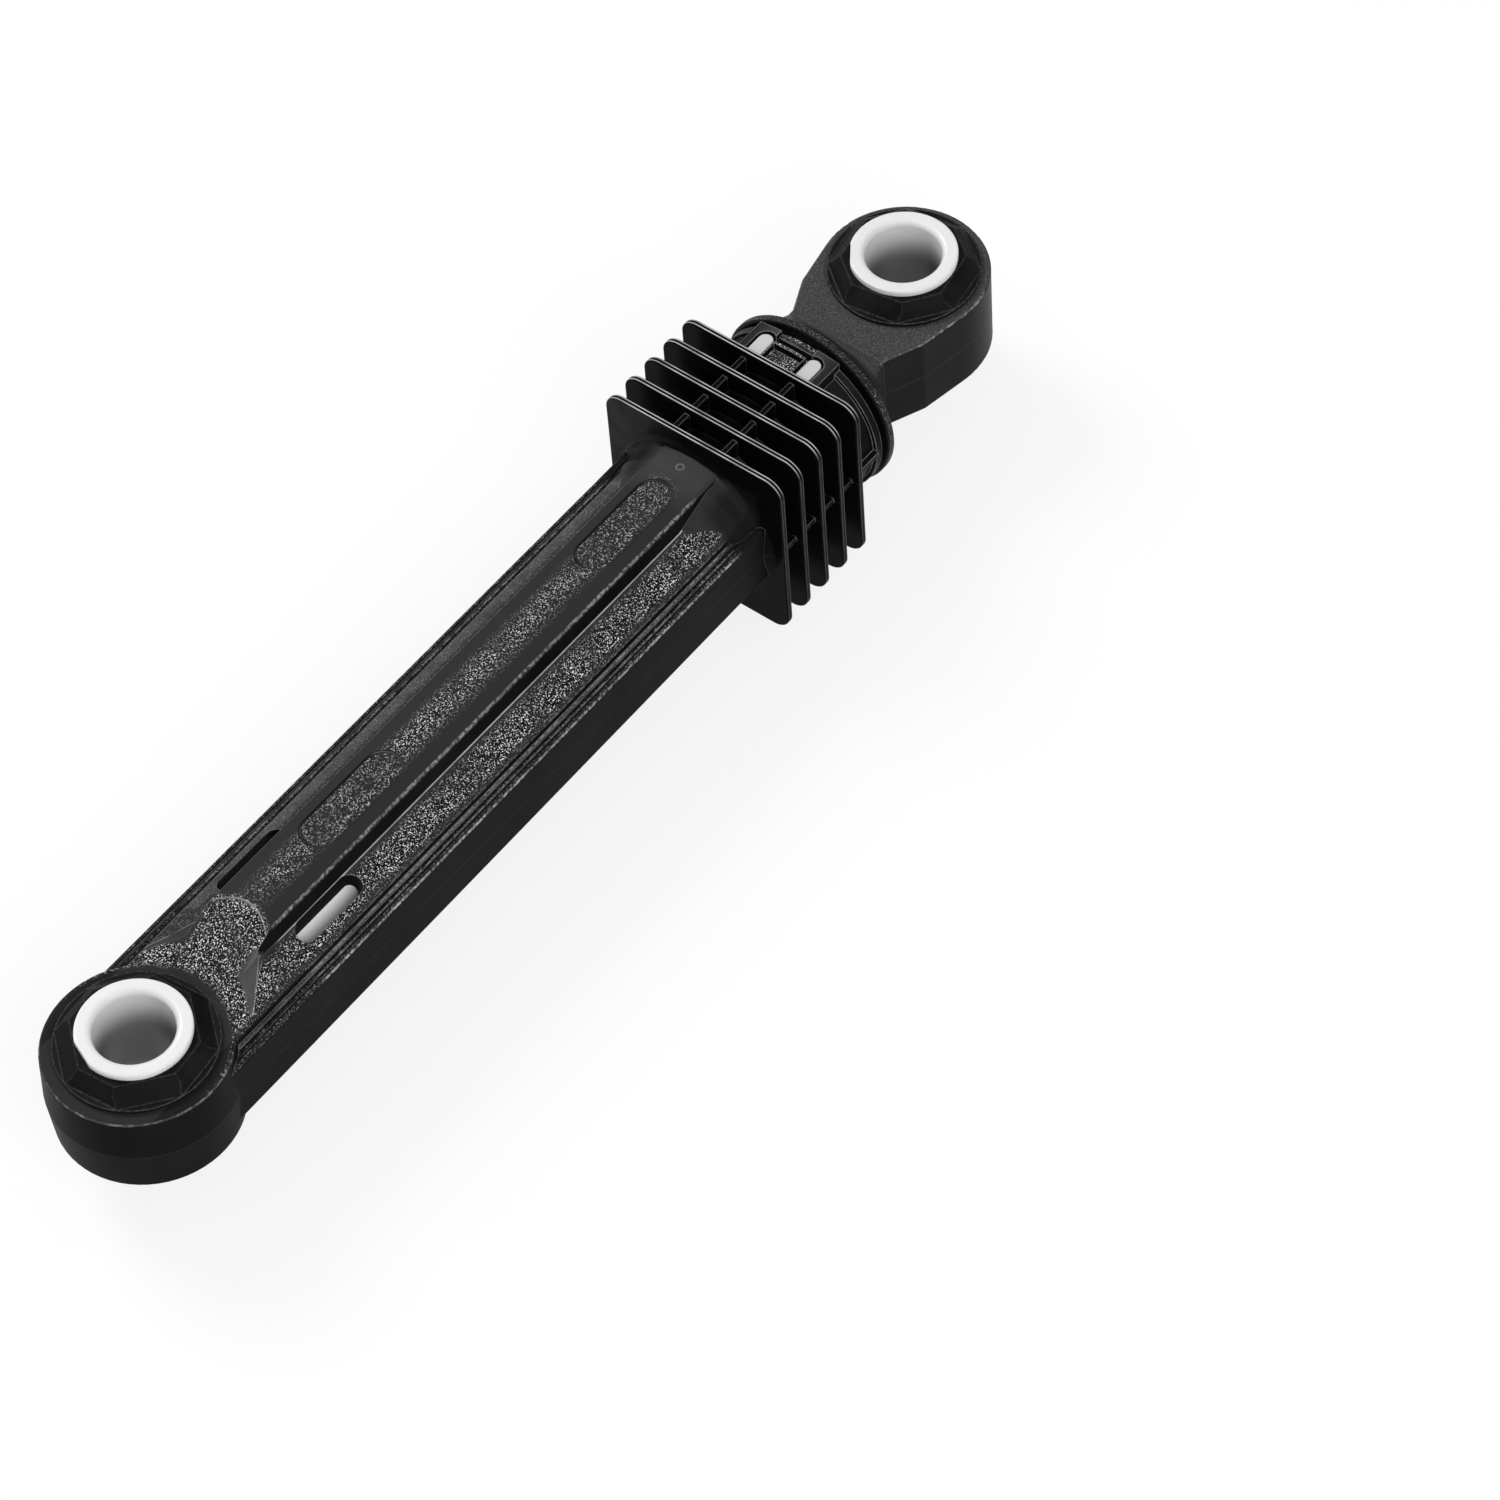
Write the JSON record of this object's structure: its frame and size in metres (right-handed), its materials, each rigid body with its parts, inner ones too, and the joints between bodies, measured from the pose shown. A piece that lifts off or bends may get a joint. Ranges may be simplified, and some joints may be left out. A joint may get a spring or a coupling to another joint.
{
  "type": "washing machine shock absorber",
  "caption": "Friction damper: a finned black housing tube and a sliding plunger, each ending in an eye with a rubber bush and a white flanged sleeve.",
  "frame": {"origin": "centre of the bush bore in the housing's eye, on the damper's axis", "axes": "+X along the damper from the housing's eye to the plunger's eye, +Z along both bush bores towards their flanges"},
  "size_m": [0.2417, 0.0388, 0.0388],
  "materials": {
    "housing_plastic": "satin moulded black with grained panels",
    "plunger_plastic": "satin moulded black",
    "cap_plastic": "satin moulded black",
    "bush_rubber": "matt",
    "sleeve_plastic": "smooth white",
    "guide_plastic": "smooth white",
    "carrier_plastic": "smooth white",
    "lining_foam": "greased open-cell foam"
  },
  "bodies": {
    "housing_body": {"outer_housing": "housing_plastic", "housing_rubber_bush": "bush_rubber", "housing_bush_sleeve": "sleeve_plastic", "lining_carrier_upper": "carrier_plastic", "lining_carrier_lower": "carrier_plastic", "friction_lining_upper": "lining_foam", "friction_lining_lower": "lining_foam", "end_cap": "cap_plastic"},
    "guide_body": {"piston_guide": "guide_plastic"},
    "plunger_body": {"plunger": "plunger_plastic", "plunger_rubber_bush": "bush_rubber", "plunger_bush_sleeve": "sleeve_plastic"}
  },
  "joints": [
    {"name": "plunger_slide", "type": "slide", "parent": "housing_body", "child": "guide_body", "axis": [1, 0, 0], "range_m": [0, 0.075]},
    {"name": "plunger_turn", "type": "hinge", "parent": "guide_body", "child": "plunger_body", "pos_m": [0.20925, 0, 0], "axis": [1, 0, 0], "continuous": true}
  ]
}
